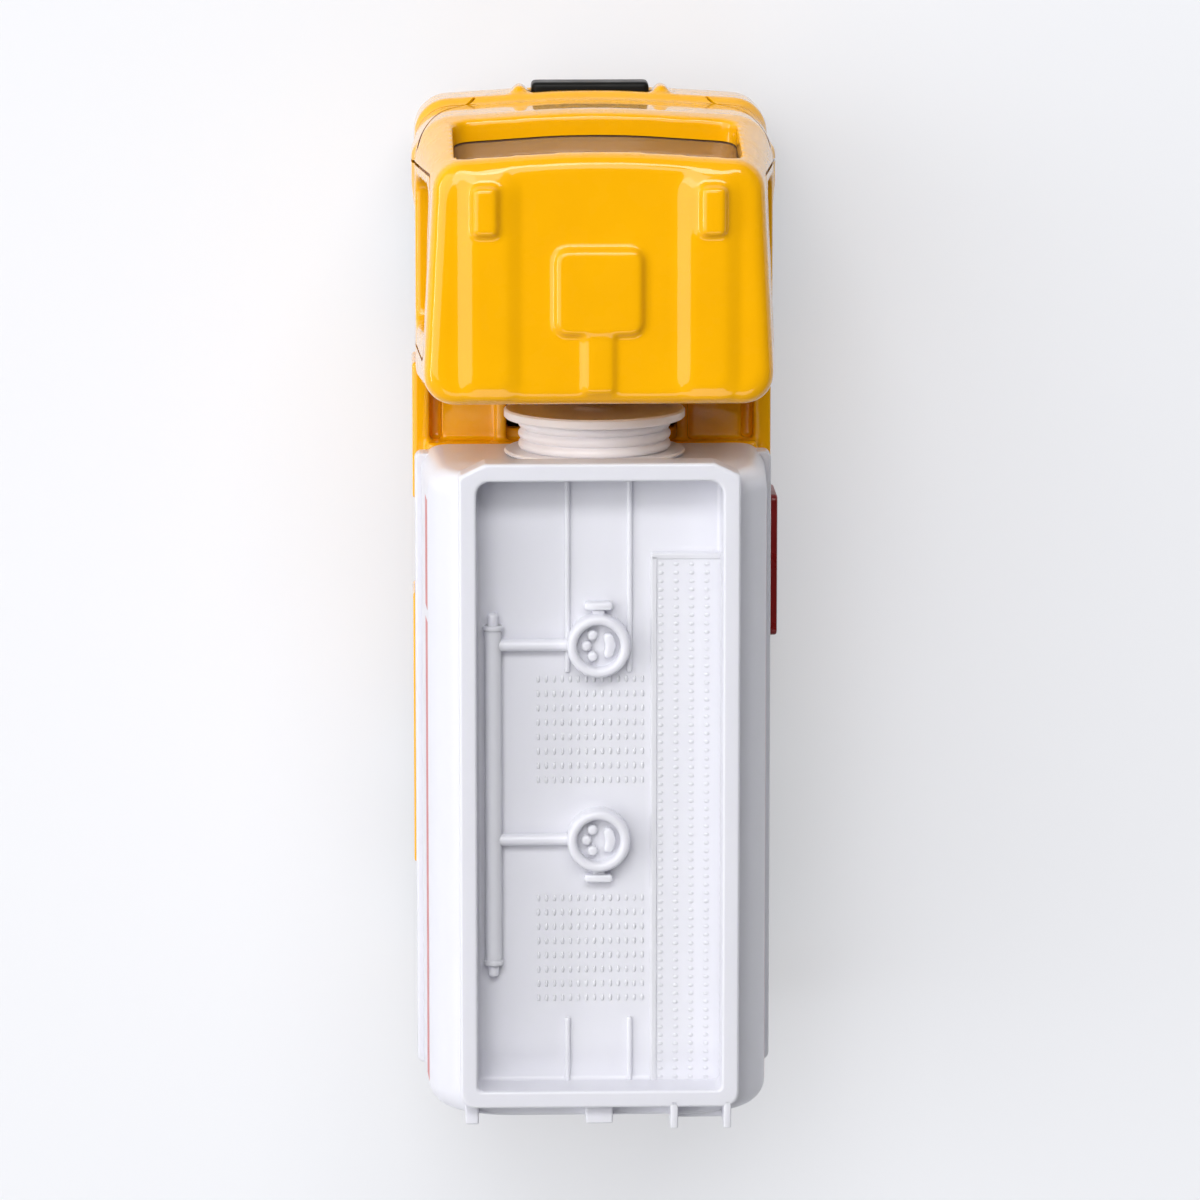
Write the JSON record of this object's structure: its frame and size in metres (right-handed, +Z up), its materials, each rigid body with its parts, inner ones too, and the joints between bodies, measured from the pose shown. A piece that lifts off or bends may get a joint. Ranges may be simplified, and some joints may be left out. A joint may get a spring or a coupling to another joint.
{
  "type": "toy tanker truck",
  "caption": "Die-cast toy tanker truck with sprung axles, free-rolling wheels, a turning hose drum and a tank with manholes, a pipe and a walkway in its top tray.",
  "frame": {"origin": "on the ground, under the middle of the truck's length and width", "axes": "+Z up, +Y to the front bumper, +X to the truck's right-hand side"},
  "size_m": [0.0275, 0.075, 0.0305],
  "materials": {
    "yellow_paint": "gloss",
    "white_plastic": "satin",
    "black_plastic": "satin",
    "red_plastic": "satin",
    "clear_plastic": "gloss",
    "grey_plastic": "matte",
    "tyre_plastic": "matte",
    "hub_plastic": "satin",
    "steel": "satin"
  },
  "bodies": {
    "truck": {"cab_and_frame": "yellow_paint", "window_insert": "clear_plastic", "interior": "grey_plastic", "base_plate": "black_plastic", "front_rivet": "steel", "rear_rivet": "steel", "front_spring": "steel", "rear_spring": "steel", "tank_body": "white_plastic", "side_locker": "red_plastic"},
    "front_axle": {"front_axle": "steel"},
    "front_left_wheel": {"front_left_tyre": "tyre_plastic", "front_left_hub": "hub_plastic"},
    "front_right_wheel": {"front_right_tyre": "tyre_plastic", "front_right_hub": "hub_plastic"},
    "middle_axle": {"middle_axle": "steel"},
    "middle_left_wheel": {"middle_left_tyre": "tyre_plastic", "middle_left_hub": "hub_plastic"},
    "middle_right_wheel": {"middle_right_tyre": "tyre_plastic", "middle_right_hub": "hub_plastic"},
    "rear_axle": {"rear_axle": "steel"},
    "rear_left_wheel": {"rear_left_tyre": "tyre_plastic", "rear_left_hub": "hub_plastic"},
    "rear_right_wheel": {"rear_right_tyre": "tyre_plastic", "rear_right_hub": "hub_plastic"},
    "hose_drum": {"hose_drum": "white_plastic"}
  },
  "joints": [
    {"name": "front_axle_spring", "type": "slide", "parent": "truck", "child": "front_axle", "axis": [0, 0, 1], "range_m": [-0.001, 0.0006], "stiffness_N_per_m": 342, "springref_m": -0.001, "deforming": ["front_spring"]},
    {"name": "front_left_wheel_spin", "type": "hinge", "parent": "front_axle", "child": "front_left_wheel", "pos_m": [0, 0.024, 0.005], "axis": [1, 0, 0], "continuous": true},
    {"name": "front_right_wheel_spin", "type": "hinge", "parent": "front_axle", "child": "front_right_wheel", "pos_m": [0, 0.024, 0.005], "axis": [1, 0, 0], "continuous": true},
    {"name": "middle_axle_spring", "type": "slide", "parent": "truck", "child": "middle_axle", "axis": [0, 0, 1], "range_m": [-0.001, 0.0006], "stiffness_N_per_m": 105, "springref_m": -0.001, "deforming": ["rear_spring"]},
    {"name": "middle_left_wheel_spin", "type": "hinge", "parent": "middle_axle", "child": "middle_left_wheel", "pos_m": [0, -0.0152, 0.005], "axis": [1, 0, 0], "continuous": true},
    {"name": "middle_right_wheel_spin", "type": "hinge", "parent": "middle_axle", "child": "middle_right_wheel", "pos_m": [0, -0.0152, 0.005], "axis": [1, 0, 0], "continuous": true},
    {"name": "rear_axle_spring", "type": "slide", "parent": "truck", "child": "rear_axle", "axis": [0, 0, 1], "range_m": [-0.001, 0.0006], "stiffness_N_per_m": 105, "springref_m": -0.001, "deforming": ["rear_spring"]},
    {"name": "rear_left_wheel_spin", "type": "hinge", "parent": "rear_axle", "child": "rear_left_wheel", "pos_m": [0, -0.0264, 0.005], "axis": [1, 0, 0], "continuous": true},
    {"name": "rear_right_wheel_spin", "type": "hinge", "parent": "rear_axle", "child": "rear_right_wheel", "pos_m": [0, -0.0264, 0.005], "axis": [1, 0, 0], "continuous": true},
    {"name": "hose_drum_spin", "type": "hinge", "parent": "truck", "child": "hose_drum", "pos_m": [0, 0.0127, 0.018], "axis": [0, 1, 0], "continuous": true}
  ]
}
